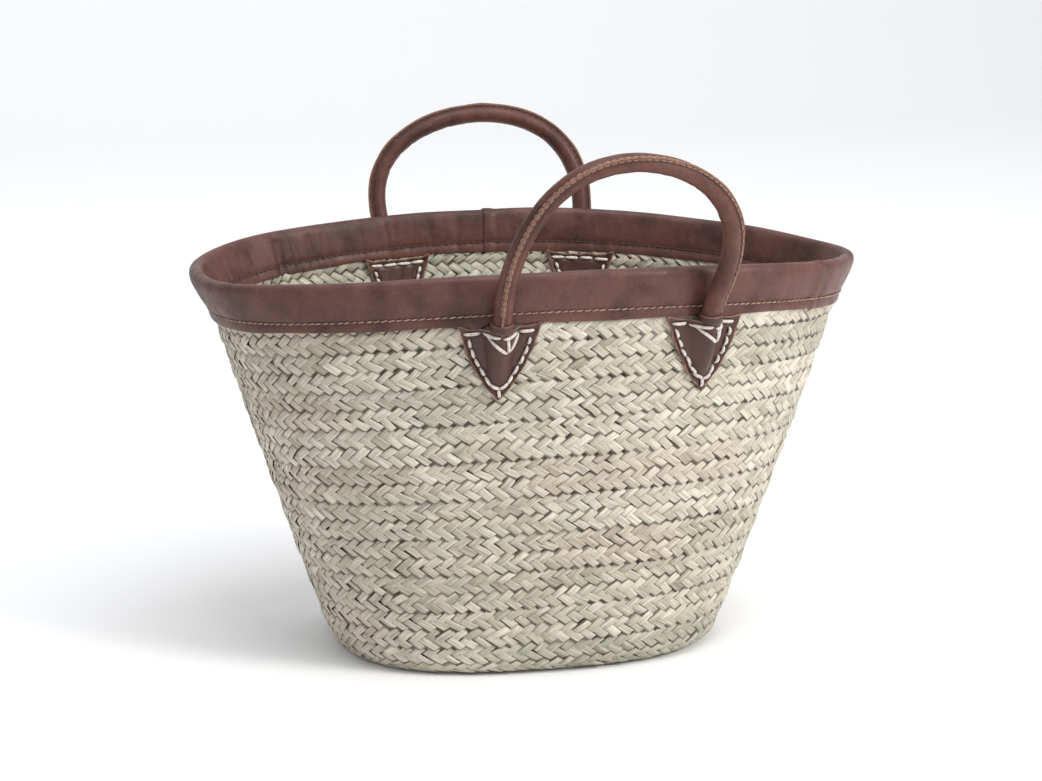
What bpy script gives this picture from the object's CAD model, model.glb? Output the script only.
import math

import bpy
import numpy as np
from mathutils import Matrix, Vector


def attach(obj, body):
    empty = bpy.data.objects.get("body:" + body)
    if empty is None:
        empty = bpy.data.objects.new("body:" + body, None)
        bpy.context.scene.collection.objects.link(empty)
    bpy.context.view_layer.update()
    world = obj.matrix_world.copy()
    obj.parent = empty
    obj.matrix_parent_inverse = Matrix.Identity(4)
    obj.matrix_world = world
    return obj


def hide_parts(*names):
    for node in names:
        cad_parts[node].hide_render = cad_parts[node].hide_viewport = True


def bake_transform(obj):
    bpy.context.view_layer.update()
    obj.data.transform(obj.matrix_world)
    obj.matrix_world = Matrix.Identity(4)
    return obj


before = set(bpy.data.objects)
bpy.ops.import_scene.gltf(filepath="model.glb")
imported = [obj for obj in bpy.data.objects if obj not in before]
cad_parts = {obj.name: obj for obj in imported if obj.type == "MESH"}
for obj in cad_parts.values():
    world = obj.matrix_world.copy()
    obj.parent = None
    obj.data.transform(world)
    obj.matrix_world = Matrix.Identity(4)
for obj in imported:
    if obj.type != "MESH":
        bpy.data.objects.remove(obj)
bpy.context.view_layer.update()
mm = 0.001

# The woven surface, with the same driving sizes as the part, in metres.
shape = {
    "mouthLength": 0.474,
    "mouthDepth": 0.292,
    "wallHeight": 0.292,
    "tipDrop": 0.016,
    "leftRoundness": 2.35,
    "rightRoundness": 1.95,
    "bottomLength": 0.287,
    "bottomDepth": 0.218,
    "bottomRoundness": 2.5,
    "bottomShift": -0.0065,
    "edgeRadius": 0.018,
    "edgeSweep": math.radians(76),
    "wallSwell": 0.0015,
    "thickness": 0.005,
    "bottomTurns": 3,
    "wallTurns": 10,
    "spiralStart": 120,
    "steps": 60,
}
coreTurns = shape["bottomTurns"] - 2
edgeU = shape["bottomTurns"] + 1
topU = edgeU + shape["wallTurns"]
flatA = shape["bottomLength"] / 2 - shape["edgeRadius"]
flatB = shape["bottomDepth"] / 2 - shape["edgeRadius"]
edgeOut = shape["edgeRadius"] * math.sin(shape["edgeSweep"])
footZ = shape["edgeRadius"] * (1 - math.cos(shape["edgeSweep"]))
turnHeight = (shape["wallHeight"] - footZ) / shape["wallTurns"]
# The highest place where the surface still has wall on both sides of it.
belowTopU = topU - 0.03


def mix(a, b, t):
    return a + (b - a) * t


def power(v, e):
    return np.sign(v) * np.abs(v) ** e


def smooth(t):
    t = np.clip(t, 0, 1)
    return t * t * (3 - 2 * t)


def bell(t, width):
    return np.exp(-((t / width) ** 2))


def unit(v):
    v = np.asarray(v, float)
    return v / np.maximum(np.linalg.norm(v, axis=-1, keepdims=True), 1e-12)


def lengthAlong(line):
    return np.concatenate([[0], np.cumsum(np.linalg.norm(np.diff(line, axis=0), axis=1))])


def roundAngles(count):
    return np.arange(count) * 2 * math.pi / count


def wallShare(u):
    return np.maximum((u - edgeU) / shape["wallTurns"], 0)


def edgeAngle(u):
    return np.clip(u - shape["bottomTurns"], 0, 1) * shape["edgeSweep"]


def halfSizes(u):
    t = wallShare(u)
    flat = np.clip(u / shape["bottomTurns"], 0, 1)
    q = edgeAngle(u)
    swell = shape["wallSwell"] * 4 * t * (1 - t)
    edge = shape["edgeRadius"] * np.sin(q)
    low = u <= edgeU
    wallA = mix(flatA + edgeOut, shape["mouthLength"] / 2, t) + swell
    wallB = mix(flatB + edgeOut, shape["mouthDepth"] / 2, t) + swell
    a = np.where(low, mix(flatA - flatB, flatA, flat) + edge, wallA)
    b = np.where(low, mix(0, flatB, flat) + edge, wallB)
    return a, b


def roundnessAt(u, right):
    t = wallShare(u)
    atMouth = np.where(right, shape["rightRoundness"], shape["leftRoundness"])
    return mix(shape["bottomRoundness"], atMouth, t)


def heightAt(u, share):
    t = wallShare(u)
    q = edgeAngle(u)
    low = shape["edgeRadius"] * (1 - np.cos(q))
    return np.where(u <= edgeU, low, mix(footZ, shape["wallHeight"] - shape["tipDrop"] * share**2, t))


def shiftAt(u):
    return shape["bottomShift"] * (1 - np.clip((u - edgeU) / shape["wallTurns"], 0, 1))


def skin(angle, u):
    u = np.maximum(u, 0)
    c, s = np.cos(np.radians(angle)), np.sin(np.radians(angle))
    e = 2 / roundnessAt(u, c >= 0)
    x = power(c, e)
    a, b = halfSizes(u)
    return np.stack(np.broadcast_arrays(a * x + shiftAt(u), b * power(s, e), heightAt(u, x)), -1)


def skinNormal(angle, u):
    d = 0.02
    across = skin(angle + 1, u) - skin(angle - 1, u)
    up = skin(angle, u + d) - skin(angle, np.maximum(u - d, 0))
    n = unit(np.cross(across, up))
    down = np.broadcast_to(np.array([0.0, 0, -1]), n.shape)
    return np.where((np.asarray(u) <= shape["bottomTurns"])[..., None], down, n)


def skinOut(angle, u, out):
    return skin(angle, u) + skinNormal(angle, u) * np.asarray(out)[..., None]


def sideSkin(x, u, side):
    fromMiddle = x - shiftAt(u)
    a, b = halfSizes(u)
    n = roundnessAt(u, fromMiddle >= 0)
    share = np.abs(fromMiddle) / a
    return np.stack(np.broadcast_arrays(x, side * b * (1 - share**n) ** (1 / n), heightAt(u, share)), -1)


def sideNormal(x, u, side):
    d = 0.02
    across = sideSkin(x + mm, u, side) - sideSkin(x - mm, u, side)
    up = sideSkin(x, u + d, side) - sideSkin(x, u - d, side)
    return -side * unit(np.cross(across, up))


def sideOut(x, u, side, out):
    return sideSkin(x, u, side) + sideNormal(x, u, side) * np.asarray(out)[..., None]


rimHeight = 31 * mm


def rimFlare(angle, up):
    # The leather stands away from the wall at both tips, and rises a little at the back left.
    fromRight = (angle + 180) % 360 - 180
    fromBack = (angle - 90) % 360 + 90
    top = smooth(1 + up / rimHeight)
    left = bell(fromBack - 172, 30)
    backLeft = bell(fromBack - 146, 24)
    right = bell(fromRight, 13)
    backRight = bell(fromRight - 62, 26)
    outward = (5.2 * left + 2.2 * backLeft + 4.6 * right) * mm * top
    rise = (2.4 * backLeft + 1.8 * backRight) * mm * top
    return outward, rise


def flareOffset(angle, up, normal):
    outward, lift = rimFlare(angle, up)
    level = unit(normal * np.array([1, 1, 0]))
    return level * outward[..., None] + np.array([0, 0, 1]) * lift[..., None]


def waves(t, seed, length):
    # Smooth random values from -1 to 1 along t, with bumps about one length apart.
    rng = np.random.default_rng(seed)
    knotCount = 4096
    knots = rng.uniform(-1, 1, knotCount)
    p = np.asarray(t) / length + 50
    i = np.floor(p).astype(int)
    return mix(knots[i % knotCount], knots[(i + 1) % knotCount], smooth(p - i))


def makeMesh(name, points, faces, attributes=None):
    mesh = bpy.data.meshes.new(name)
    points = np.asarray(points, np.float32).reshape(-1, 3)
    faces = np.asarray(faces, np.int32)
    mesh.vertices.add(len(points))
    mesh.vertices.foreach_set("co", points.ravel())
    mesh.loops.add(faces.size)
    mesh.loops.foreach_set("vertex_index", faces.ravel())
    mesh.polygons.add(len(faces))
    mesh.polygons.foreach_set("loop_start", np.arange(len(faces), dtype=np.int32) * faces.shape[1])
    mesh.polygons.foreach_set("use_smooth", np.ones(len(faces), bool))
    mesh.update(calc_edges=True)
    for key, values in (attributes or {}).items():
        values = np.asarray(values, np.float32)
        if values.ndim == 1:
            mesh.attributes.new(key, "FLOAT", "POINT").data.foreach_set("value", values)
        elif values.shape[1] == 3:
            mesh.attributes.new(key, "FLOAT_VECTOR", "POINT").data.foreach_set("vector", values.ravel())
        else:
            mesh.attributes.new(key, "FLOAT_COLOR", "POINT").data.foreach_set("color", values.ravel())
    mesh.validate()
    obj = bpy.data.objects.new(name, mesh)
    bpy.context.scene.collection.objects.link(obj)
    return obj


def gridFaces(rows, columns, closeRows=False, closeColumns=False, flip=False):
    i = np.arange(rows if closeRows else rows - 1)
    j = np.arange(columns if closeColumns else columns - 1)
    i, j = np.meshgrid(i, j, indexing="ij")
    ni, nj = (i + 1) % rows, (j + 1) % columns
    corners = [i * columns + j, i * columns + nj, ni * columns + nj, ni * columns + j]
    quads = np.stack(corners, -1).reshape(-1, 4)
    return quads[:, ::-1] if flip else quads


def finishPiece(obj, material, slotName, body, *nodes):
    obj.data.materials.append(material)
    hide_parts(*nodes)
    if body:
        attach(obj, body)


def nodeGroup(name, inputs, outputs):
    group = bpy.data.node_groups.new(name, "ShaderNodeTree")
    for label, kind, value in inputs:
        socket = group.interface.new_socket(label, in_out="INPUT", socket_type=kind)
        if value is not None:
            socket.default_value = value
    for label, kind in outputs:
        group.interface.new_socket(label, in_out="OUTPUT", socket_type=kind)
    return group, group.nodes.new("NodeGroupInput"), group.nodes.new("NodeGroupOutput")


def addNode(tree, kind, values=None, **settings):
    node = tree.nodes.new(kind)
    for key, value in settings.items():
        setattr(node, key, value)
    for key, value in (values or {}).items():
        node.inputs[key].default_value = value
    return node


def noiseNode(tree, vector, scale, detail=3.0, rough=0.55):
    node = addNode(tree, "ShaderNodeTexNoise", {"Scale": scale, "Detail": detail, "Roughness": rough})
    tree.links.new(vector, node.inputs["Vector"])
    return node.outputs["Fac"]


def mathNode(tree, operation, a, b):
    node = addNode(tree, "ShaderNodeMath", operation=operation)
    for i, value in enumerate((a, b)):
        if isinstance(value, (int, float)):
            node.inputs[i].default_value = value
        else:
            tree.links.new(value, node.inputs[i])
    return node.outputs[0]


def rangeNode(tree, value, fromLow, fromHigh, toLow, toHigh):
    node = addNode(tree, "ShaderNodeMapRange", {1: fromLow, 2: fromHigh, 3: toLow, 4: toHigh})
    tree.links.new(value, node.inputs[0])
    return node.outputs[0]


def mixColour(tree, factor, a, b, blend="MIX"):
    node = addNode(tree, "ShaderNodeMix", data_type="RGBA", blend_type=blend)
    for socket, value in ((node.inputs[0], factor), (node.inputs[6], a), (node.inputs[7], b)):
        if isinstance(value, (int, float)):
            socket.default_value = value
        elif isinstance(value, tuple):
            socket.default_value = (*value, 1)
        else:
            tree.links.new(value, socket)
    return node.outputs[2]


def scaledVector(tree, vector, scale):
    node = addNode(tree, "ShaderNodeMapping", {"Scale": scale})
    tree.links.new(vector, node.inputs["Vector"])
    return node.outputs["Vector"]


def attributeNode(tree, name):
    return addNode(tree, "ShaderNodeAttribute", attribute_name=name)


def makeLeatherGroup():
    # Mottled, worn leather: a base colour, a darker one and a worn one, with pores and fine creases.
    tree, given, result = nodeGroup(
        "wornLeather",
        [
            ("Vector", "NodeSocketVector", None),
            ("Base", "NodeSocketColor", (0.15, 0.06, 0.045, 1)),
            ("Dark", "NodeSocketColor", (0.07, 0.028, 0.024, 1)),
            ("Worn", "NodeSocketColor", (0.3, 0.15, 0.11, 1)),
            ("Wear", "NodeSocketFloat", 0.5),
        ],
        [("Colour", "NodeSocketColor"), ("Roughness", "NodeSocketFloat"), ("Height", "NodeSocketFloat")],
    )
    place = given.outputs["Vector"]
    wear = given.outputs["Wear"]
    worn = given.outputs["Worn"]
    large = noiseNode(tree, place, 28, 4)
    small = noiseNode(tree, place, 160, 5, 0.65)
    grain = noiseNode(tree, place, 900, 3, 0.6)
    pores = addNode(tree, "ShaderNodeTexVoronoi", {"Scale": 1500.0})
    tree.links.new(place, pores.inputs["Vector"])
    streaks = noiseNode(tree, scaledVector(tree, place, (260, 260, 40)), 1, 4)
    darkMask = rangeNode(tree, large, 0.48, 0.66, 0.0, 0.8)
    wearMask = mathNode(tree, "MULTIPLY", rangeNode(tree, small, 0.5, 0.78, 0.0, 1.0), wear)
    wearMore = mathNode(tree, "MULTIPLY", rangeNode(tree, large, 0.5, 0.3, 0.0, 0.6), wear)
    tone = mixColour(tree, darkMask, given.outputs["Base"], given.outputs["Dark"])
    tone = mixColour(tree, wearMask, tone, worn)
    tone = mixColour(tree, wearMore, tone, worn)
    fine = rangeNode(tree, grain, 0.3, 0.7, 0.82, 1.12)
    fineColour = addNode(tree, "ShaderNodeCombineColor")
    for k in range(3):
        tree.links.new(fine, fineColour.inputs[k])
    tone = mixColour(tree, 1.0, tone, fineColour.outputs[0], "MULTIPLY")
    tree.links.new(tone, result.inputs["Colour"])
    smallRough = rangeNode(tree, small, 0.3, 0.75, 0.34, 0.6)
    largeRough = rangeNode(tree, large, 0.3, 0.7, -0.05, 0.06)
    tree.links.new(mathNode(tree, "ADD", smallRough, largeRough), result.inputs["Roughness"])
    height = mathNode(tree, "MULTIPLY", grain, 0.35)
    for value, share in ((pores.outputs["Distance"], 0.25), (small, 1.1), (streaks, 0.7)):
        height = mathNode(tree, "ADD", height, mathNode(tree, "MULTIPLY", value, share))
    tree.links.new(height, result.inputs["Height"])
    return tree


leatherGroup = makeLeatherGroup()


def newMaterial(name):
    material = bpy.data.materials.new(name)
    material.use_nodes = True
    tree = material.node_tree
    return material, tree, tree.nodes["Principled BSDF"]


def addBump(tree, shader, height, strength, distance):
    bump = addNode(tree, "ShaderNodeBump", {"Strength": strength, "Distance": distance})
    tree.links.new(height, bump.inputs["Height"])
    tree.links.new(bump.outputs["Normal"], shader.inputs["Normal"])


def leatherMaterial(name, look):
    # rawEdge is 1 on the pale cut edge of the leather.
    material, tree, shader = newMaterial(name)
    where = addNode(tree, "ShaderNodeTexCoord").outputs["Object"]
    group = addNode(tree, "ShaderNodeGroup", node_tree=leatherGroup)
    for key in ("Base", "Dark", "Worn"):
        group.inputs[key].default_value = (*look[key], 1)
    group.inputs["Wear"].default_value = look["wear"]
    tree.links.new(where, group.inputs["Vector"])
    raw = attributeNode(tree, "rawEdge").outputs["Fac"]
    shade = attributeNode(tree, "shade").outputs["Fac"]
    speckle = noiseNode(tree, where, 700, 4)
    rawColour = mixColour(tree, rangeNode(tree, speckle, 0.35, 0.65, 0.0, 1.0), look["raw"], look["rawDark"])
    colour = mixColour(tree, raw, group.outputs["Colour"], rawColour)
    colour = mixColour(tree, mathNode(tree, "MULTIPLY", shade, 0.75), colour, look["Dark"])
    tree.links.new(colour, shader.inputs["Base Color"])
    rawRough = mathNode(tree, "MULTIPLY", raw, 0.3)
    rough = mathNode(tree, "ADD", group.outputs["Roughness"], rawRough)
    tree.links.new(rough, shader.inputs["Roughness"])
    shader.inputs["Specular IOR Level"].default_value = look["gloss"]
    addBump(tree, shader, group.outputs["Height"], 0.35, 0.0006)
    return material


reddishBrown = {
    "Base": (0.105, 0.043, 0.034),
    "Dark": (0.042, 0.017, 0.015),
    "Worn": (0.20, 0.092, 0.068),
    "raw": (0.36, 0.2, 0.13),
    "rawDark": (0.17, 0.075, 0.05),
    "wear": 0.35,
    "gloss": 0.3,
}
rimLeather = leatherMaterial("rimLeather", reddishBrown)
darkGloss = {
    **reddishBrown,
    "Base": (0.062, 0.02, 0.015),
    "Worn": (0.14, 0.05, 0.035),
    "gloss": 0.5,
}
patchLeather = leatherMaterial("patchLeather", darkGloss)
handledBrown = {
    **reddishBrown,
    "Base": (0.105, 0.04, 0.028),
    "Dark": (0.05, 0.019, 0.015),
    "Worn": (0.22, 0.098, 0.066),
    "wear": 0.45,
}
handleLeather = leatherMaterial("handleLeather", handledBrown)


def palmMaterial(name):
    # tint holds the leaf's tone, its green, its pink and a random value; shade is 1 where a leaf
    # dives under its neighbours; grain runs along, across and at random from leaf to leaf.
    material, tree, shader = newMaterial(name)
    tint = addNode(tree, "ShaderNodeSeparateColor")
    tree.links.new(attributeNode(tree, "tint").outputs["Color"], tint.inputs[0])
    grainVector = attributeNode(tree, "grain").outputs["Vector"]
    shade = attributeNode(tree, "shade").outputs["Fac"]
    fibres = noiseNode(tree, scaledVector(tree, grainVector, (0.09, 2.6, 1.0)), 1, 4, 0.6)
    streaks = noiseNode(tree, scaledVector(tree, grainVector, (0.05, 0.95, 1.0)), 1, 2, 0.5)
    blotch = noiseNode(tree, scaledVector(tree, grainVector, (0.12, 0.25, 1.0)), 1, 3)
    colour = mixColour(tree, tint.outputs[0], (0.40, 0.36, 0.27), (0.72, 0.67, 0.56))
    colour = mixColour(tree, tint.outputs[1], colour, (0.34, 0.36, 0.28))
    colour = mixColour(tree, tint.outputs[2], colour, (0.50, 0.38, 0.30))
    colour = mixColour(tree, rangeNode(tree, blotch, 0.48, 0.8, 0.0, 0.45), colour, (0.48, 0.42, 0.31))
    fineTone = addNode(tree, "ShaderNodeCombineColor")
    for k, low in enumerate((0.74, 0.73, 0.70)):
        tree.links.new(rangeNode(tree, fibres, 0.3, 0.7, low, 1.12), fineTone.inputs[k])
    colour = mixColour(tree, 1.0, colour, fineTone.outputs[0], "MULTIPLY")
    colour = mixColour(tree, rangeNode(tree, streaks, 0.52, 0.72, 0.0, 0.5), colour, (0.27, 0.23, 0.165))
    colour = mixColour(tree, rangeNode(tree, streaks, 0.46, 0.3, 0.0, 0.45), colour, (0.86, 0.81, 0.70))
    colour = mixColour(tree, mathNode(tree, "MULTIPLY", shade, 0.9), colour, (0.03, 0.024, 0.016))
    tree.links.new(colour, shader.inputs["Base Color"])
    tree.links.new(rangeNode(tree, fibres, 0.3, 0.7, 0.62, 0.46), shader.inputs["Roughness"])
    shader.inputs["Specular IOR Level"].default_value = 0.35
    addBump(tree, shader, mathNode(tree, "ADD", fibres, streaks), 0.7, 0.0006)
    return material


palmLeaf = palmMaterial("palmLeaf")


def threadMaterial(name, look):
    material, tree, shader = newMaterial(name)
    where = addNode(tree, "ShaderNodeTexCoord").outputs["Object"]
    fuzz = noiseNode(tree, where, look["fuzz"], 3)
    waviness = {"Scale": look["twist"], "Distortion": 1.5, "Detail": 1.0}
    twist = addNode(tree, "ShaderNodeTexWave", waviness, bands_direction="DIAGONAL")
    tree.links.new(where, twist.inputs["Vector"])
    colour = mixColour(tree, rangeNode(tree, fuzz, 0.3, 0.7, 0.0, 1.0), look["colour"], look["dirt"])
    colour = mixColour(tree, mathNode(tree, "MULTIPLY", twist.outputs["Fac"], 0.3), colour, look["dirt"])
    tree.links.new(colour, shader.inputs["Base Color"])
    shader.inputs["Roughness"].default_value = 0.8
    addBump(tree, shader, twist.outputs["Fac"], 0.5, 0.0003)
    return material


whiteCord = threadMaterial(
    "whiteCord", {"colour": (0.80, 0.77, 0.72), "dirt": (0.50, 0.42, 0.36), "fuzz": 500, "twist": 320}
)
paleThread = threadMaterial(
    "paleThread", {"colour": (0.50, 0.36, 0.27), "dirt": (0.24, 0.13, 0.09), "fuzz": 300, "twist": 800}
)
darkThread = threadMaterial(
    "darkThread", {"colour": (0.10, 0.05, 0.04), "dirt": (0.05, 0.025, 0.02), "fuzz": 300, "twist": 800}
)
fibreRope = threadMaterial(
    "fibreRope", {"colour": (0.46, 0.35, 0.2), "dirt": (0.25, 0.18, 0.1), "fuzz": 200, "twist": 240}
)
print("materials made")
leaf = {
    "pitch": 9.6 * mm,
    "rows": 4,
    "bulge": 1.2 * mm,
    "sink": 0.5 * mm,
    "under": 1.3 * mm,
    "seed": 11,
}
stepAngle = 360 / shape["steps"]
turnStepsSeen = shape["steps"] - 1
lastG = turnStepsSeen * (shape["wallTurns"] + 3)
bandG = np.arange(-shape["steps"], lastG + 1, 0.1)
bandLine = skin(shape["spiralStart"] + stepAngle * bandG, coreTurns + bandG / shape["steps"] + 0.5)
bandS = lengthAlong(bandLine)
turnNames = ["bottom_core", "bottom_turn", "edge_turn_lower", "edge_turn_upper"]
turnNames += ["wall_turn_%02d" % k for k in range(1, shape["wallTurns"] + 1)]


def flaredSkin(angle, u, out):
    # The wall under the leather follows the leather's flare.
    normal = skinNormal(angle, np.minimum(u, belowTopU))
    follows = (u > topU - 1.2)[..., None]
    return skinOut(angle, u, out) + follows * flareOffset(angle, (u - topU) * turnHeight, normal)


def bandPoint(s, v, out):
    g = np.interp(s, bandS, bandG)
    return flaredSkin(shape["spiralStart"] + stepAngle * g, coreTurns + g / shape["steps"] + v, out)


def turnOf(s):
    g = np.interp(s, bandS, bandG)
    wound = np.minimum(np.floor(g / turnStepsSeen), shape["wallTurns"] + 2) + 1
    return np.where(g < 0, 0, wound).astype(int)


def underRim(s, v):
    u = coreTurns + np.interp(s, bandS, bandG) / shape["steps"] + v
    return smooth((u - topU + 1.0) / 0.12)


def bandLevel(v, turn, s):
    # How far the middle of the weave stands off the surface: shingled on the wall, flat below.
    steps = np.interp(v, [-0.25, 0, 0.5, 1, 1.3], [1.5, 1.3, 0.6, -0.1, -0.6]) * mm
    share = np.clip((turn - 2) / 2.0, 0, 1)
    hidden = underRim(s, v) * 0.9 * mm
    sag = 0.35 * mm * waves(s, 5, 0.035)
    return steps * share + sag * share - (1 - share) * 0.8 * mm - leaf["sink"] - hidden


def leafFloats(inside):
    rng = np.random.default_rng(leaf["seed"] + (50 if inside else 0))
    total = bandS[-1]
    centres, rows = [], []
    for row in range(leaf["rows"]):
        count = int(total / leaf["pitch"])
        s = (np.arange(count) + (0.5 if row % 2 else 0.0)) * leaf["pitch"] + 0.1 * leaf["pitch"]
        s = s + 1.2 * mm * waves(s, 30 + row, 0.05)
        centres.append(s)
        rows.append(np.full(count, row))
    s = np.concatenate(centres)
    row = np.concatenate(rows)
    g = np.interp(s, bandS, bandG)
    u = coreTurns + g / shape["steps"] + (row + 0.5) / leaf["rows"]
    keep = (s < total - leaf["pitch"]) & (u < topU - 0.25)
    s, row = s[keep], row[keep]
    return s, row, rng


def weaveLayer(inside):
    s, row, rng = leafFloats(inside)
    count = len(s)
    turn = turnOf(s)
    goesDown = (row % 2 == 0) != inside
    p = leaf["pitch"]
    h = 1 / leaf["rows"]
    # Past bendAt a leaf bends down, to go under the next ones.
    bendAt = 0.88
    a = np.array([-1.34, -1.16, -1.02, -bendAt, 0.0, bendAt, 1.02, 1.16, 1.34])
    b = np.array([-1.0, -0.93, -0.62, -0.42, 0.42, 0.62, 0.93, 1.0])
    aa, bb = [x.ravel() for x in np.meshgrid(a, b, indexing="ij")]
    rowV = (row + 0.5) * h + 0.012 * waves(s, 60, 0.06) + rng.normal(0, 0.006, count)
    lean = 1 + rng.normal(0, 0.10, count)
    widen = 1.22 + rng.normal(0, 0.08, count)
    bulge = leaf["bulge"] * np.clip(1 + rng.normal(0, 0.3, count), 0.4, 1.7)
    tilt = mm * (0.55 + rng.normal(0, 0.18, count))
    bow = rng.normal(0, 0.07, count)
    swing = rng.normal(0, 0.09, count)
    slant = np.where(goesDown, 1, -1)[:, None]
    # Along a leaf is half the pitch across and half a row up or down; its width runs the other way.
    ds = (p / 2) * lean[:, None] * aa + (p / 4) * widen[:, None] * bb * slant
    ds = ds + (p * 0.5) * bow[:, None] * (1 - aa**2)
    dv = -slant * (h / 2) * aa + (h / 4) * widen[:, None] * bb
    dv = dv + (h / 2) * swing[:, None] * aa
    ends = smooth((np.abs(aa) - bendAt) / 0.34)
    sides = np.abs(bb) ** 8
    rounded = 1 - 0.16 * bb**2 - 0.4 * sides
    out = bulge[:, None] * rounded * (1 - 0.12 * aa**2) * (1 - ends * 1.15)
    out = out - leaf["under"] * ends - 0.1 * mm * sides
    highSide = bb * slant
    out = out + tilt[:, None] * highSide * (1 - ends)
    crease = rng.random(count) < 0.25
    creaseAt = rng.choice([-0.5, 0.0, 0.5], count)[:, None]
    out = out - (crease * rng.uniform(0.3, 0.8, count) * mm)[:, None] * bell(bb - creaseAt, 0.2)
    ss = s[:, None] + ds
    vv = rowV[:, None] + dv
    level = bandLevel(vv, turn[:, None], ss)
    out = out * (1 - 0.5 * underRim(ss, vv))
    if inside:
        flatDepth = -shape["thickness"] + 0.9 * mm - out
        wallDepth = flatDepth - 0.4 * level + underRim(ss, vv) * 0.9 * mm
        depth = np.where((turn <= 2)[:, None], flatDepth, wallDepth)
    else:
        depth = level + out
    points = bandPoint(ss.ravel(), vv.ravel(), depth.ravel()).reshape(count, -1, 3)
    edgeShade = 0.95 * smooth((-highSide - 0.42) / 0.2)
    shade = np.clip(smooth((np.abs(aa) - 0.9) / 0.2) + edgeShade, 0, 1)
    shade = shade + np.where(crease[:, None], 0.5 * bell(bb - creaseAt, 0.12), 0)
    shade = np.clip(shade * rng.uniform(0.55, 1.15, count)[:, None], 0, 1)
    tone = np.clip(0.55 + 0.25 * waves(s, 71, 0.09) + rng.normal(0, 0.2, count), 0, 1)
    green = np.clip(1.5 * waves(s + row * 0.004, 83, 0.24) - 0.62, 0, 0.5)
    green = green + np.clip(rng.normal(-0.12, 0.16, count), 0, 0.35)
    pink = np.clip(1.5 * waves(s + row * 0.006, 92, 0.17) - 0.85, 0, 0.32)
    pink = pink + np.clip(rng.normal(-0.2, 0.16, count), 0, 0.3)
    if inside:
        tone = tone * 0.9
    tint = np.stack([tone, green, pink, rng.random(count)], -1)
    grain = np.stack(
        [
            aa * 6 + rng.uniform(0, 900, count)[:, None],
            bb * 3 + np.zeros((count, 1)),
            np.zeros((count, len(aa))) + rng.uniform(0, 900, count)[:, None],
        ],
        -1,
    )
    return {
        "turn": turn,
        "points": points,
        "shade": shade,
        "tint": np.repeat(tint[:, None, :], len(aa), 1),
        "grain": grain,
        "faces": gridFaces(len(a), len(b)),
        "goesDown": goesDown,
        "inside": inside,
    }


def backing(turn):
    # The dark inner strands that are seen between the leaves.
    low = (turn - 1) * turnStepsSeen if turn else -shape["steps"]
    high = turn * turnStepsSeen if turn else 0
    along, across = 120, 5
    g = np.linspace(low, high, along)
    v = np.linspace(0, 1, across)
    gg, vv = np.meshgrid(g, v, indexing="ij")
    u = np.minimum(coreTurns + gg / shape["steps"] + vv, topU)
    middle = np.full(gg.shape, -0.5 * shape["thickness"])
    points = flaredSkin(shape["spiralStart"] + stepAngle * gg, u, middle)
    return points.reshape(-1, 3), gridFaces(along, across)


layers = [weaveLayer(False), weaveLayer(True)]
for turn, nodeName in enumerate(turnNames):
    allPoints, allFaces, allShade, allTint, allGrain = [], [], [], [], []
    offset = 0
    for layer in layers:
        pick = np.nonzero(layer["turn"] == turn)[0]
        n = layer["points"].shape[1]
        faces = layer["faces"]
        for down in (True, False):
            chosen = pick[layer["goesDown"][pick] == down]
            f = faces if down != layer["inside"] else faces[:, ::-1]
            allFaces.append((f[None] + (offset + np.arange(len(chosen))[:, None, None] * n)).reshape(-1, 4))
            allPoints.append(layer["points"][chosen].reshape(-1, 3))
            allShade.append(layer["shade"][chosen].ravel())
            allTint.append(layer["tint"][chosen].reshape(-1, 4))
            allGrain.append(layer["grain"][chosen].reshape(-1, 3))
            offset += len(chosen) * n
    points, faces = backing(turn)
    allFaces.append(faces + offset)
    allPoints.append(points)
    allShade.append(np.ones(len(points)))
    allTint.append(np.tile([0.3, 0, 0.2, 0.5], (len(points), 1)))
    allGrain.append(points * 1000)
    obj = makeMesh(
        nodeName + "_weave",
        np.concatenate(allPoints),
        np.concatenate(allFaces),
        {
            "shade": np.concatenate(allShade),
            "tint": np.concatenate(allTint),
            "grain": np.concatenate(allGrain),
        },
    )
    finishPiece(obj, palmLeaf, "palm_leaf", "basket", nodeName)
print("band woven")


def tubes(paths, radii, ups, sides):
    # Round tubes along several paths of the same length; ups are the surface normals under them.
    paths = np.asarray(paths, float)
    count, rings = paths.shape[:2]
    tangents = unit(np.gradient(paths, axis=1))
    across = unit(np.cross(tangents, ups))
    up = np.cross(across, tangents)
    q = roundAngles(sides)
    radii = np.broadcast_to(radii, (count, rings))[..., None, None]
    ring = across[:, :, None] * np.cos(q)[:, None] + up[:, :, None] * np.sin(q)[:, None]
    points = paths[:, :, None] + radii * ring
    faces = gridFaces(rings, sides, closeColumns=True)
    faces = (faces[None] + (np.arange(count) * rings * sides)[:, None, None]).reshape(-1, 4)
    return points.reshape(-1, 3), faces


def stitchProfile(rings):
    t = np.linspace(0, 1, rings)
    thick = 1.15 * np.sin(math.pi * np.clip(t, 0.04, 0.96)) ** 0.35
    return t, np.sin(math.pi * t) ** 0.5, np.clip(thick, 0.25, 1)

rim = {
    "outside": 31 * mm,
    "inside": 29 * mm,
    "seam": 7 * mm,
    "rightJoint": 324,
    "backJoint": 90,
    "lap": 4 * mm,
    "stitchPitch": 5.2 * mm,
    "stitchLength": 4.3 * mm,
    "thread": 0.5 * mm,
}
outerSeam = rim["outside"] - rim["seam"]
innerSeam = rim["inside"] - rim["seam"]
rimAngles = np.linspace(rim["backJoint"], rim["backJoint"] + 360, 7201)
rimLine = skin(rimAngles, np.full(rimAngles.shape, float(topU)))
rimS = lengthAlong(rimLine)
jointS = float(np.interp(rim["rightJoint"], rimAngles, rimS))
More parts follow.
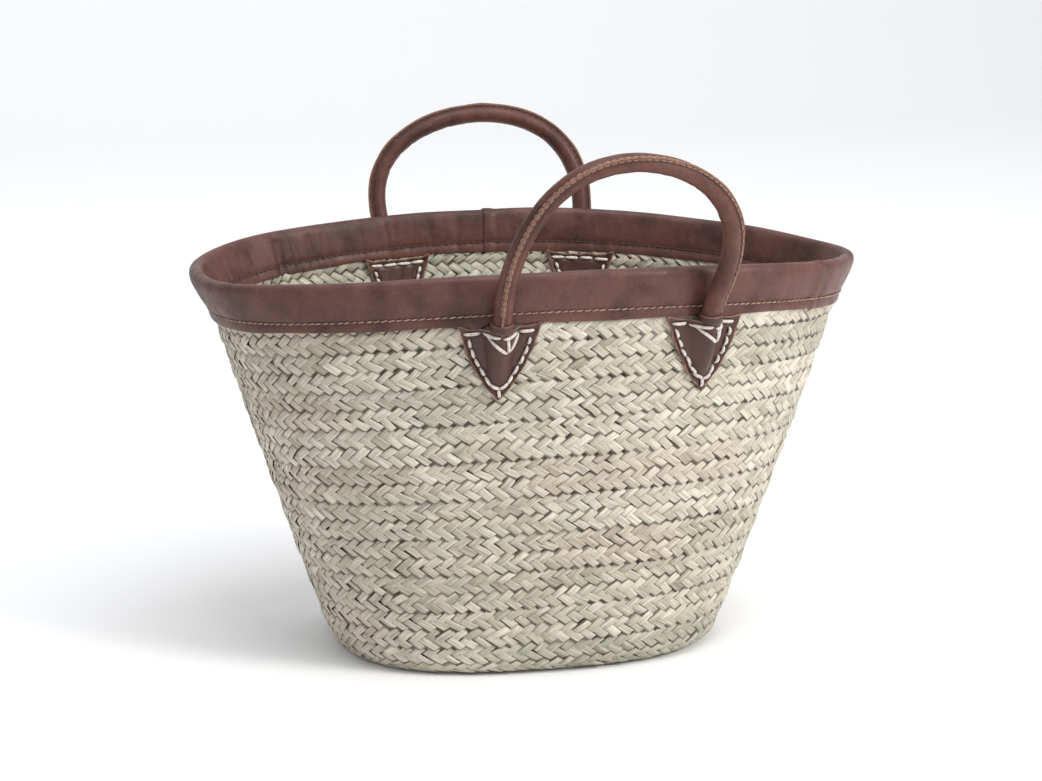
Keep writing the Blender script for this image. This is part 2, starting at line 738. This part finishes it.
# Out from the woven surface and up from the wall's top, in mm, from the outer edge to the inner one.
rimProfile = np.array([
    (1.5, -29.5), (1.7, -30.9), (2.4, -31.3), (3.1, -31.0), (3.45, -30.0), (3.4, -28.0), (3.15, -26.0),
    (2.75, -24.8), (2.6, -24.0), (2.75, -23.2), (3.2, -21.8), (3.6, -19.0), (3.8, -15.0), (3.85, -11.0),
    (3.8, -7.0), (3.6, -4.0), (3.2, -1.6), (2.4, 0.4), (1.2, 1.7), (-0.4, 2.3), (-2.0, 2.5), (-3.6, 2.3),
    (-5.0, 1.6), (-6.2, 0.3), (-6.9, -1.6), (-7.3, -4.0), (-7.5, -8.0), (-7.5, -12.0), (-7.4, -16.0),
    (-7.2, -19.0), (-6.9, -20.8), (-6.5, -22.0), (-6.8, -23.2), (-7.2, -25.0), (-7.3, -27.0),
    (-7.1, -28.4), (-6.6, -29.1), (-5.9, -29.0), (-5.4, -28.0),
]) * mm
creaseRng = np.random.default_rng(4)


def creaseList(count, low, high, width, depth):
    # Each crease has a place along the rim, a width, a depth and a lean.
    limits = ((low, high), width, depth, (-0.3, 0.3))
    return [tuple(creaseRng.uniform(*pair) for pair in limits) for _ in range(count)]


rimLength = float(rimS[-1])
# Gathers inside, most of them at the back left, and a few outside.
innerCreases = creaseList(34, 0.06, 0.30, (1.2 * mm, 3.0 * mm), (0.3 * mm, 0.8 * mm))
innerCreases += creaseList(46, 0, rimLength, (1.2 * mm, 3.0 * mm), (0.15 * mm, 0.6 * mm))
outerCreases = creaseList(36, 0, rimLength, (2.0 * mm, 6.0 * mm), (0.1 * mm, 0.38 * mm))
outerCreases += [(jointS - 0.012, 3 * mm, 0.7 * mm, 0.4), (jointS + 0.010, 3 * mm, 0.6 * mm, -0.4)]


def creaseDepth(s, drop, creases, reach):
    total = np.zeros(np.broadcast(s, drop).shape)
    for centre, width, depth, lean in creases:
        total = total + depth * bell(s - centre - lean * (drop - reach / 2), width)
    return total


def rimPoint(s, out, up):
    # The last strip's lap runs on past the joint, over the start of the first strip.
    angle = np.interp(np.mod(s, rimS[-1]), rimS, rimAngles)
    below = np.minimum(up, 0)
    over = np.maximum(up, 0)
    u = topU + below / turnHeight
    base = skin(angle, u)
    normal = skinNormal(angle, np.minimum(u, belowTopU))
    wallTop = skin(angle, np.full(np.shape(angle), float(topU)))
    rise = unit(wallTop - skin(angle, np.full(np.shape(angle), topU - 0.1)))
    point = base + normal * np.asarray(out)[..., None] + rise * np.asarray(over)[..., None]
    return point + flareOffset(angle, up, normal), normal


def rimStrip(name, nodeName, low, high):
    # The strip's high end laps over the next strip's start.
    lap = rim["lap"]
    lapS = [high, high + 0.6 * lap, high + lap - 0.6 * mm, high + lap]
    s = np.concatenate([np.arange(low, high, 1.6 * mm), lapS])
    profile = np.concatenate([rimProfile, [(-5.2 * mm, -14 * mm), (0.2 * mm, -14 * mm)]])
    ss, oo = np.meshgrid(s, profile[:, 0], indexing="ij")
    uu = np.broadcast_to(profile[:, 1], ss.shape).copy()
    drop = -uu
    outer = smooth((oo + 1.5 * mm) / (3 * mm)) * (drop > -3 * mm)
    inner = 1 - smooth((oo + 4.5 * mm) / (3 * mm))
    shown = np.broadcast_to(np.arange(len(profile)) < len(rimProfile), ss.shape)
    edgeWave = waves(ss, 201, 0.028)
    fade = np.exp(-np.abs(drop - 22 * mm) / (9 * mm))
    wallFace = smooth((drop - 1 * mm) / (5 * mm))
    outerFace = outer * shown * wallFace
    innerFace = inner * shown * wallFace
    oo = oo - outerFace * creaseDepth(ss, drop, outerCreases, rim["outside"]) * (0.4 + 0.6 * fade)
    oo = oo - outerFace * 0.22 * mm * np.maximum(waves(ss, 210, 0.0075), 0) * fade
    oo = oo + innerFace * creaseDepth(ss, drop, innerCreases, rim["inside"])
    oo = oo + innerFace * 0.35 * mm * np.maximum(waves(ss, 215, 0.006), 0) * fade
    aboveSeam = 1 - smooth((drop - 18 * mm) / (6 * mm))
    oo = oo + outerFace * 0.5 * mm * waves(ss, 220, 0.055) * aboveSeam
    lipOut = smooth((drop - 26 * mm) / (4 * mm)) * outer
    oo = oo + lipOut * 0.45 * mm * (0.4 + edgeWave)
    uu = uu + smooth((drop - 25 * mm) / (5 * mm)) * 0.6 * mm * waves(ss, 230, 0.035)
    uu = uu + (1 - smooth((drop + 2.5 * mm) / (5 * mm))) * 0.7 * mm * waves(ss, 240, 0.06)
    past = np.clip(ss - high, 0, lap)
    lift = 1.0 * mm * smooth((ss - high + 7 * mm) / (6 * mm))
    lift = lift * np.sqrt(np.clip(1 - (past / lap) ** 8, 0, 1))
    oo = oo + lift * (outer - inner) * shown
    uu = uu + lift * (1 - outer) * (1 - inner) * shown
    points, _ = rimPoint(ss, oo, uu)
    # The cut edges are at these two points of the profile.
    outerLip, innerLip = 2, 36
    place = np.arange(len(profile))
    lipMask = bell(place - outerLip, 0.9) + bell(place - innerLip, 0.9)
    raw = np.broadcast_to(lipMask * 0.8, ss.shape)
    seamDark = bell(drop - outerSeam, 1.1 * mm) * outer
    seamDark = seamDark + bell(drop - innerSeam, 1.1 * mm) * inner
    end = np.clip((ss - high - lap + 1.2 * mm) / (1.2 * mm), 0, 1)
    obj = makeMesh(
        name,
        points,
        gridFaces(len(s), len(profile), closeColumns=True),
        {"rawEdge": raw.ravel() * 0.8, "shade": np.clip(seamDark * 0.45 + end, 0, 1).ravel()},
    )
    finishPiece(obj, rimLeather, "leather", "basket", nodeName)


rimStrip("rim_leather_left_fold", "rim_leather_left", 0.0, jointS)
rimStrip("rim_leather_right_fold", "rim_leather_right", jointS, rimLength)


def rimStitches(name, nodeName, drop, out, material, seed):
    rng = np.random.default_rng(seed)
    count = int(rimLength / rim["stitchPitch"])
    pitch = rimLength / count
    rings = 7
    t, rise, thick = stitchProfile(rings)
    start = np.arange(count) * pitch + rng.normal(0, 0.15 * mm, count)
    length = rim["stitchLength"] + rng.normal(0, 0.25 * mm, count)
    slant = 0.75 * mm + rng.normal(0, 0.12 * mm, count)
    s = start[:, None] + length[:, None] * t
    up = -drop + slant[:, None] * (t - 0.5) * np.sign(out)
    height = abs(out) + 0.3 * mm * rise - 0.45 * mm
    standing = np.sign(out) * np.broadcast_to(height, s.shape)
    paths, normals = rimPoint(np.minimum(s, rimLength - 0.01 * mm), standing, up)
    normals = normals * np.sign(out)
    points, faces = tubes(paths, rim["thread"] * thick, normals, 6)
    obj = makeMesh(name, points, faces)
    finishPiece(obj, material, "thread", "basket", nodeName)


rimStitches("rim_thread_outside_stitches", "rim_thread_outside", outerSeam, 3.35 * mm, paleThread, 41)
rimStitches("rim_thread_inside_stitches", "rim_thread_inside", innerSeam, -7.25 * mm, darkThread, 42)
print("rim sewn")

patch = {
    "width": 54 * mm,
    "length": 50 * mm,
    "innerWidth": 50 * mm,
    "innerLength": 42 * mm,
    "leather": 1.8 * mm,
    "drop": 1.5 * mm,
    "cord": 1.15 * mm,
    "inset": 4.5 * mm,
    "sideStitches": 5,
    "topStitches": 4,
    "ropeEnd": 36 * mm,
}
handle = {
    "radius": 6.5 * mm,
    "span": 145 * mm,
    "offset": 11.8 * mm,
    "collar": 5 * mm,
    "foldGap": 1 * mm,
    "flange": 2.8 * mm,
}
bows = {
    "front": {
        "side": -1,
        "centre": 18 * mm,
        "height": 110 * mm,
        "lean": 20,
        "sway": 18 * mm,
        "spread": 0.27,
        "skew": -14 * mm,
        "seam": (74, 40, 0),
    },
    "back": {
        "side": 1,
        "centre": -1 * mm,
        "height": 99 * mm,
        "lean": 12,
        "sway": -8 * mm,
        "spread": 0.42,
        "skew": 10 * mm,
        "seam": (34, 26, 30),
    },
}
wallGap = 1.5 * mm
patchTopU = topU - (rim["outside"] + patch["drop"]) / turnHeight
innerTopU = topU - (rim["inside"] + patch["drop"]) / turnHeight


def legX(bow, end):
    return bow["centre"] + end * handle["span"] / 2


def legFoot(bow, end):
    return sideOut(legX(bow, end), patchTopU, bow["side"], handle["offset"])


def legUp(bow, end):
    x = legX(bow, end)
    return unit(sideSkin(x, float(topU), bow["side"]) - sideSkin(x, patchTopU, bow["side"]))


def patchHalf(t, width, length):
    s = np.clip(t / length, 0, 1)
    return np.maximum(2.2 * mm, width / 2 * np.clip(1 - s**1.4, 0, 1) ** 0.75)


def domeHeight(x, t):
    fade = np.clip(1 - np.maximum(t, 0) / (patch["ropeEnd"] + 8 * mm), 0, 1)
    reach = mix(6.5 * mm, handle["radius"] + 7 * mm, fade)
    top = handle["offset"] + handle["radius"] - wallGap - 1 * mm
    bump = np.cos(0.5 * math.pi * np.clip(np.abs(x) / reach, 0, 1)) ** 1.25
    return top * fade**0.75 * bump


def outerSurface(bow, end, x, t, rise):
    place = (legX(bow, end) + x, patchTopU - t / turnHeight, bow["side"])
    return sideOut(*place, wallGap + domeHeight(x, t) + rise), sideNormal(*place)


def innerSurface(bow, end, x, t, rise):
    place = (legX(bow, end) + x, innerTopU - t / turnHeight, bow["side"])
    return sideOut(*place, -shape["thickness"] - 0.3 * mm - rise), -sideNormal(*place)


def patchSize(isOuter):
    if isOuter:
        return patch["width"], patch["length"]
    return patch["innerWidth"], patch["innerLength"]


def stitchLines(width, length, isOuter, rng):
    # Ends of each stitch in the patch's plane: across from its middle and down from its top.
    lines = []
    tip = length - 2 * patch["inset"]
    first = patch["inset"] + 3 * mm
    for end in (-1, 1):
        for i in range(patch["sideStitches"]):
            a = mix(first, tip, (i + 0.1) / patch["sideStitches"])
            b = mix(first, tip, (i + 0.86) / patch["sideStitches"])
            ends = [(end * (patchHalf(t, width, length) - patch["inset"]), t) for t in (a, b)]
            lines.append(ends)
    lines.append([(-6.2 * mm, tip - 1 * mm), (-0.6 * mm, tip + 2.5 * mm)])
    lines.append([(6.2 * mm, tip - 1 * mm), (0.6 * mm, tip + 2.5 * mm)])
    lines.append([(0.0, tip + 2.8 * mm), (0.3 * mm, length - 0.5 * mm)])
    half = width / 2 - 2.5 * mm
    for i in range(patch["topStitches"]):
        a = mix(-half, half, (i + 0.06) / patch["topStitches"])
        b = mix(-half, half, (i + 0.9) / patch["topStitches"])
        lines.append([(a, 3.6 * mm), (b, 3.4 * mm)])
    if isOuter:
        point = (4.5 * mm + rng.uniform(-1.5, 1.5) * mm, 16.5 * mm)
        for x in (-9 * mm, 3.2 * mm, 12 * mm):
            lines.append([(x, 4.6 * mm), (mix(x, point[0], 0.93), mix(4.6 * mm, point[1], 0.95))])
    lines = np.array(lines, float)
    return lines + rng.normal(0, 0.32 * mm, lines.shape)


def segmentDistance(x, t, lines):
    best = np.full(x.shape, 1.0)
    for (ax, at), (bx, bt) in lines:
        dx, dt = bx - ax, bt - at
        share = np.clip(((x - ax) * dx + (t - at) * dt) / (dx * dx + dt * dt), 0, 1)
        best = np.minimum(best, np.hypot(x - ax - share * dx, t - at - share * dt))
    return best


def holeDistance(x, t, lines):
    best = np.full(x.shape, 1.0)
    for line in lines:
        for px, pt in line:
            best = np.minimum(best, np.hypot(x - px, t - pt))
    return best


def buildPatch(name, nodeName, bow, end, isOuter, lines, seed):
    width, length = patchSize(isOuter)
    surface = outerSurface if isOuter else innerSurface
    columns, rowCount = 57, 61
    s = np.concatenate([[-1, -1], np.linspace(-1, 1, columns), [1, 1]])
    t = np.concatenate([[0, 0], np.linspace(0, 1, rowCount), [1, 1]])
    layer = np.zeros((len(t), len(s)), int)
    layer[:, 0] = layer[:, -1] = layer[0, :] = layer[-1, :] = 2
    layer[1:-1, 1] = layer[1:-1, -2] = 1
    layer[1, 1:-1] = layer[-2, 1:-1] = 1
    tt, ss = np.meshgrid(t, s, indexing="ij")
    down = tt * length
    half = patchHalf(down, width, length)
    # The cut outline wanders, with small scallops between the stitches.
    scallop = 0.75 * mm * waves(down + 0.9 * ss, seed, 0.0048)
    scallop = scallop + 0.5 * mm * waves(down + 0.4 * ss, seed + 1, 0.012)
    x = ss * (half + scallop * smooth((np.abs(ss) - 0.55) / 0.45))
    ear = smooth((np.abs(ss) - 0.72) / 0.28) * (1 - smooth(down / (9 * mm)))
    topWave = 0.7 * mm * waves(x, seed + 2, 0.006) * (1 - smooth(down / (6 * mm)))
    down = down - ear * 2.2 * mm + topWave
    x = x + np.sign(ss) * ear * 1.2 * mm
    tipWave = smooth((tt - 0.86) / 0.14)
    down = down + tipWave * (1 - ss**2) * 1.5 * mm
    rise = np.full(x.shape, patch["leather"])
    toEnds = np.minimum(tt * length, (1 - tt) * length + 1.5 * mm)
    toEdge = np.minimum((1 - np.abs(ss)) * half, toEnds)
    curl = bell(toEdge, 2.2 * mm)
    rise = rise + curl * (0.55 + 0.45 * waves(down + 2 * x, seed + 3, 0.006)) * mm + ear * 0.9 * mm
    near = segmentDistance(x, down, lines)
    holes = holeDistance(x, down, lines)
    rise = rise - 0.6 * mm * bell(near, 1.9 * mm) - 0.5 * mm * bell(holes, 1.5 * mm)
    inField = smooth((toEdge - 3 * mm) / (4 * mm))
    wrinkle = 0.35 if isOuter else 0.8
    folds = waves(x + 0.25 * down, seed + 4, 0.0045) * (0.4 + 0.6 * waves(down, seed + 5, 0.015))
    rise = rise + wrinkle * mm * inField * folds
    rise = rise - np.choose(layer, [0, 0.5 * mm, 1.7 * mm])
    points, _ = surface(bow, end, x, down, rise)
    raw = np.clip(np.where(layer > 0, 1.0, bell(toEdge, 0.7 * mm)), 0, 1)
    shade = 0.75 * bell(holes, 1.2 * mm) + 0.3 * bell(near, 2.0 * mm)
    obj = makeMesh(
        name,
        points,
        gridFaces(len(t), len(s), flip=(bow["side"] < 0) == isOuter),
        {"rawEdge": raw.ravel(), "shade": np.clip(shade * (layer == 0), 0, 1).ravel()},
    )
    finishPiece(obj, patchLeather, "leather", "basket", nodeName)


def buildStitches(name, nodeName, bow, end, isOuter, lines):
    surface = outerSurface if isOuter else innerSurface
    rings = 11
    t, rise, thick = stitchProfile(rings)
    x = mix(lines[:, 0, 0, None], lines[:, 1, 0, None], t)
    down = mix(lines[:, 0, 1, None], lines[:, 1, 1, None], t)
    lift = patch["leather"] + 0.75 * mm * rise + 0.1 * mm - 1.5 * mm * (1 - rise)
    paths, normals = surface(bow, end, x, down, np.broadcast_to(lift, x.shape))
    points, faces = tubes(paths, patch["cord"] * thick, normals, 10)
    obj = makeMesh(name, points, faces)
    finishPiece(obj, whiteCord, "cord", "basket", nodeName)


cornerSeed = 300
for sideName, bow in bows.items():
    for endName, end in (("left", -1), ("right", 1)):
        corner = sideName + "_" + endName
        cornerSeed += 20
        for layerName, isOuter in (("outer", True), ("inner", False)):
            rng = np.random.default_rng(cornerSeed + isOuter)
            lines = stitchLines(*patchSize(isOuter), isOuter, rng)
            nodeName = corner + "_" + layerName
            seed = cornerSeed + 7 * isOuter
            buildPatch(nodeName + "_patch_leather", nodeName + "_patch", bow, end, isOuter, lines, seed)
            buildStitches(nodeName + "_cord", nodeName + "_stitching", bow, end, isOuter, lines)
print("patches sewn")


def hingeAt(bow, end):
    up = handle["collar"] + handle["radius"] + handle["foldGap"]
    return legFoot(bow, end) + up * legUp(bow, end)


def bowFrame(bow):
    a, b = hingeAt(bow, -1), hingeAt(bow, 1)
    axis = unit(b - a)
    up = unit(np.array([0, 0, 1]) - axis * axis[2])
    out = -bow["side"] * np.cross(axis, up)
    lean = math.radians(bow["lean"])
    return a, b, axis, up * math.cos(lean) + out * math.sin(lean)


def bowLine(bow, q):
    a, b, axis, up = bowFrame(bow)
    half = np.linalg.norm(b - a) / 2
    s = np.abs(np.sin(math.pi * q))
    along = -half * np.cos(math.pi * q) * (1 + bow["spread"] * s) + bow["sway"] * s + bow["skew"] * s**3
    return (a + b) / 2 + np.outer(along, axis) + np.outer(bow["height"] * s, up)


def pointsAt(at, s, values):
    return np.stack([np.interp(at, s, values[:, k]) for k in range(3)], -1)


def ringAt(angle, top, sideways):
    return np.cos(angle)[..., None] * top + np.sin(angle)[..., None] * sideways


def handleLine(bow, below, spacing):
    # From inside one patch, up through its collar, round the bow and down into the other patch.
    arch = bowLine(bow, np.linspace(0, 1, 400))
    legs = []
    for end in (-1, 1):
        foot, up = legFoot(bow, end), legUp(bow, end)
        top = handle["collar"] + handle["radius"] - 3 * mm
        legs.append(foot + np.outer(np.linspace(-below, top, 30), up))
    line = np.concatenate([legs[0], arch[6:-6], legs[1][::-1]])
    smoothings = 40
    for _ in range(smoothings):
        line[1:-1] = 0.5 * line[1:-1] + 0.25 * (line[:-2] + line[2:])
    s = lengthAlong(line)
    even = np.linspace(0, s[-1], int(s[-1] / spacing))
    return pointsAt(even, s, line), even


def handleFrames(bow, line):
    _, _, axis, up = bowFrame(bow)
    face = unit(np.cross(axis, up))
    tangent = unit(np.gradient(line, axis=0))
    top = unit(np.cross(face, tangent))
    return top, np.cross(top, tangent)


def seamAngle(bow, share):
    return np.interp(share, [0.05, 0.5, 0.95], bow["seam"])


def blendHandle(obj, bow):
    a, b, _, up = bowFrame(bow)
    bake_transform(obj)


def buildHandle(sideName, bow, seed):
    rng = np.random.default_rng(seed)
    line, s = handleLine(bow, 2 * mm, 1.4 * mm)
    share = s / s[-1]
    top, sideways = handleFrames(bow, line)
    # The sewn flange takes the first few points of each ring; the rest are the round cover.
    flangeQ = np.linspace(-0.19, 0.19, 7)
    coverQ = np.linspace(0.33, 2 * math.pi - 0.33, 30)
    q = np.concatenate([flangeQ, coverQ])
    lip = np.interp(np.abs(flangeQ), [0, 0.075, 0.13, 0.19], [1.0, 0.93, 0.42, 0.0])
    flange = np.concatenate([lip, np.zeros(len(coverQ))])
    ss, qq = np.meshgrid(s, q, indexing="ij")
    radius = handle["radius"] + 0.12 * mm * waves(ss, seed, 0.02)
    radius = radius + 0.1 * mm * waves(ss + 0.004 * qq, seed + 1, 0.007)
    # Creases across the inside of the bend.
    innerSide = smooth((-np.cos(qq - math.radians(20)) - 0.1) / 0.9)
    curved = smooth((np.minimum(share, 1 - share)[:, None] - 0.12) / 0.1)
    wrinkles = np.maximum(waves(ss + 0.0012 * np.sin(3 * qq), seed + 2, 0.0042), 0)
    radius = radius - innerSide * curved * 0.34 * mm * wrinkles
    ends = smooth(np.minimum(ss, s[-1] - ss) / (26 * mm))
    height = handle["flange"] * (0.9 + 0.12 * waves(ss, seed + 3, 0.013)) * mix(0.35, 1, ends)
    pinch = bell(np.abs(np.where(qq > math.pi, qq - 2 * math.pi, qq)) - 0.36, 0.16)
    radius = radius + flange * height - 0.28 * mm * pinch
    angle = qq - np.radians(seamAngle(bow, share))[:, None]
    points = line[:, None] + radius[..., None] * ringAt(angle, top[:, None], sideways[:, None])
    raw = np.where(flange > 0.9, 0.75, 0.0)
    shade = 0.55 * pinch + 0.25 * np.maximum(waves(ss, seed + 6, 0.03), 0) * innerSide
    obj = makeMesh(
        sideName + "_handle_leather",
        points,
        gridFaces(len(s), len(q), closeColumns=True, flip=True),
        {"rawEdge": np.broadcast_to(raw, ss.shape).ravel(), "shade": np.clip(shade, 0, 1).ravel()},
    )
    nodes = (sideName + "_handle_cover", sideName + "_left_leg_cover", sideName + "_right_leg_cover")
    finishPiece(obj, handleLeather, "leather", None, *nodes)
    blendHandle(obj, bow)

    # The seam's stitches lie along the foot of the flange, on the side that is seen.
    pitch, rings = 4.6 * mm, 7
    t, rise, thick = stitchProfile(rings)
    both, bothFaces = [], []
    for faceSign in (1, -1):
        start = np.arange(15 * mm, s[-1] - 18 * mm, pitch)
        start = start + rng.normal(0, 0.12 * mm, len(start))
        at = start[:, None] + (3.6 * mm) * t
        base = pointsAt(at, s, line)
        topAt = pointsAt(at, s, top)
        sideAt = pointsAt(at, s, sideways)
        seam = -np.radians(seamAngle(bow, at / s[-1]))
        out = handle["radius"] + 0.95 * mm + 0.22 * mm * (t - 0.5)
        foot = ringAt(seam + faceSign * 0.155, topAt, sideAt)
        flat = ringAt(seam + faceSign * math.pi / 2, topAt, sideAt)
        paths = base + foot * np.broadcast_to(out, at.shape)[..., None]
        paths = paths + flat * ((0.15 * rise - 0.1) * mm)[None, :, None]
        points, faces = tubes(paths, 0.42 * mm * thick, flat, 6)
        bothFaces.append(faces + sum(len(side) for side in both))
        both.append(points)
    thread = makeMesh(sideName + "_handle_stitches", np.concatenate(both), np.concatenate(bothFaces))
    colour = paleThread if sideName == "front" else darkThread
    finishPiece(thread, colour, "thread", None, sideName + "_handle_thread")
    blendHandle(thread, bow)


def buildRope(sideName, bow):
    line, s = handleLine(bow, 1 * mm, 3 * mm)
    top, sideways = handleFrames(bow, line)
    strands, sides = 3, 24
    q = roundAngles(sides)
    ss, qq = np.meshgrid(s, q, indexing="ij")
    radius = 4.1 * mm + 0.4 * mm * np.abs(np.sin((qq + ss / (9 * mm)) * strands / 2))
    points = line[:, None] + radius[..., None] * ringAt(qq, top[:, None], sideways[:, None])
    faces = gridFaces(len(s), sides, closeColumns=True, flip=True)
    obj = makeMesh(sideName + "_handle_core_rope", points, faces)
    finishPiece(obj, fibreRope, "rope", None, sideName + "_handle_rope")
    blendHandle(obj, bow)


def buildRopeEnd(corner, bow, end):
    # The rope's end goes flat under the patch.
    rings = np.linspace(0, 1, 14)
    x = legX(bow, end)
    u = patchTopU - patch["ropeEnd"] * rings / turnHeight
    flat = mix(4.5 * mm, 1.6 * mm, rings**0.9)
    wide = mix(4.5 * mm, 3.5 * mm, rings)
    away = mix(handle["offset"], wallGap + 0.4 * mm + flat, rings**0.8)
    normal = sideNormal(np.full(len(rings), x), u, bow["side"])
    line = sideOut(np.full(len(rings), x), u, bow["side"], away)
    across = unit(np.cross(legUp(bow, end), normal))
    sides = 20
    q = roundAngles(sides)
    points = line[:, None] + across[:, None] * (wide[:, None] * np.cos(q))[..., None]
    points = points + normal[:, None] * (flat[:, None] * np.sin(q))[..., None]
    obj = makeMesh(corner + "_rope_tail", points, gridFaces(len(rings), sides, closeColumns=True))
    finishPiece(obj, fibreRope, "rope", "basket", corner + "_rope_end")


def buildCollar(corner, bow, end, seed):
    # A short strip of the patch leather wrapped round the leg, with a pale cut edge.
    profile = np.array([
        (6.8, 0.2), (7.8, -0.1), (8.25, 0.9), (8.3, 2.2), (8.1, 3.6),
        (7.85, 4.6), (7.4, 5.1), (6.9, 4.9), (6.65, 3.5),
    ]) * mm
    cutEdge = 6
    q = np.linspace(0, 2 * math.pi, 73)[:-1]
    foot, up = legFoot(bow, end), legUp(bow, end)
    normal = sideNormal(legX(bow, end), patchTopU, bow["side"])
    outward = unit(normal - up * np.dot(normal, up))
    across = np.cross(up, outward)
    qq, rr = np.meshgrid(q, profile[:, 0], indexing="ij")
    zz = np.broadcast_to(profile[:, 1], rr.shape)
    wave = waves(qq * 0.01 + 0.003 * np.sin(qq), seed, 0.011)
    wrap = smooth(np.cos(qq) * 2 + 0.5)
    rr = rr + 0.28 * mm * wave * (rr > 7.5 * mm)
    edge = 0.55 * mm * waves(np.sin(qq) + np.cos(qq) * 0.5, seed + 1, 0.5)
    zz = zz + (zz > 3 * mm) * edge - (1 - wrap) * 0.3 * mm
    points = foot + rr[..., None] * ringAt(qq, outward, across) + zz[..., None] * up
    raw = np.broadcast_to(bell(np.arange(len(profile)) - cutEdge, 0.8), rr.shape)
    faces = gridFaces(len(q), len(profile), closeRows=True, closeColumns=True)
    attributes = {"rawEdge": raw.ravel(), "shade": np.zeros(rr.size)}
    obj = makeMesh(corner + "_collar_strip", points, faces, attributes)
    finishPiece(obj, patchLeather, "leather", "basket", corner + "_collar")


for k, (sideName, bow) in enumerate(bows.items()):
    buildHandle(sideName, bow, 500 + 40 * k)
    buildRope(sideName, bow)
    for endName, end in (("left", -1), ("right", 1)):
        corner = sideName + "_" + endName
        buildRopeEnd(corner, bow, end)
        buildCollar(corner, bow, end, 600 + 10 * k + end)
print("handles made")


def areaLight(name, at, target, size, watts, colour):
    data = bpy.data.lights.new(name, "AREA")
    data.shape = "RECTANGLE"
    data.size, data.size_y = size
    data.energy = watts
    data.color = colour
    obj = bpy.data.objects.new(name, data)
    obj.location = at
    obj.rotation_euler = (Vector(target) - Vector(at)).to_track_quat("-Z", "Y").to_euler()
    bpy.context.scene.collection.objects.link(obj)


def buildStage():
    # A floor that curves up behind the basket.
    half, back, radius = 7.0, 3.0, 1.8
    q = np.linspace(0, 0.5 * math.pi, 24)
    y = np.concatenate([[-half, 0.0], back + radius * np.sin(q), [back + radius]])
    z = np.concatenate([[0.0, 0.0], radius * (1 - np.cos(q)), [5.0]])
    points = np.stack([np.stack([np.full(len(y), x), y, z], -1) for x in (-half, half)], 1)
    floor = makeMesh("floor", points.reshape(-1, 3), gridFaces(len(y), 2, flip=True))
    material, _, shader = newMaterial("paleFloor")
    shader.inputs["Base Color"].default_value = (0.9, 0.9, 0.895, 1)
    shader.inputs["Roughness"].default_value = 0.9
    floor.data.materials.append(material)
    world = bpy.data.worlds.new("studio")
    bpy.context.scene.world = world
    world.use_nodes = True
    background = world.node_tree.nodes["Background"]
    background.inputs["Color"].default_value = (0.93, 0.95, 1.0, 1)
    background.inputs["Strength"].default_value = 0.62
    middle = (0, 0, 0.16)
    areaLight("keyLight", (1.7, -1.5, 1.5), middle, (0.8, 0.8), 42, (1.0, 0.985, 0.96))
    areaLight("fillLight", (-2.2, -1.6, 1.1), middle, (2.0, 2.0), 2.5, (0.95, 0.97, 1.0))
    areaLight("topLight", (0.2, -0.7, 2.3), middle, (1.5, 1.5), 30, (1.0, 1.0, 1.0))
    areaLight("wallLight", (0.0, 1.2, 3.6), (0, 4.5, 1.0), (4.0, 1.5), 60, (1.0, 1.0, 1.0))


def addCamera():
    data = bpy.data.cameras.new("camera")
    data.lens = 96.1
    data.sensor_width = 36
    camera = bpy.data.objects.new("camera", data)
    camera.location = (-0.4632, -1.9324, 0.6079)
    target = Vector((-0.0063, 0.0015, 0.1823))
    camera.rotation_euler = (target - camera.location).to_track_quat("-Z", "Y").to_euler()
    bpy.context.scene.collection.objects.link(camera)
    bpy.context.scene.camera = camera


buildStage()
addCamera()
bpy.context.scene.view_settings.view_transform = "Standard"
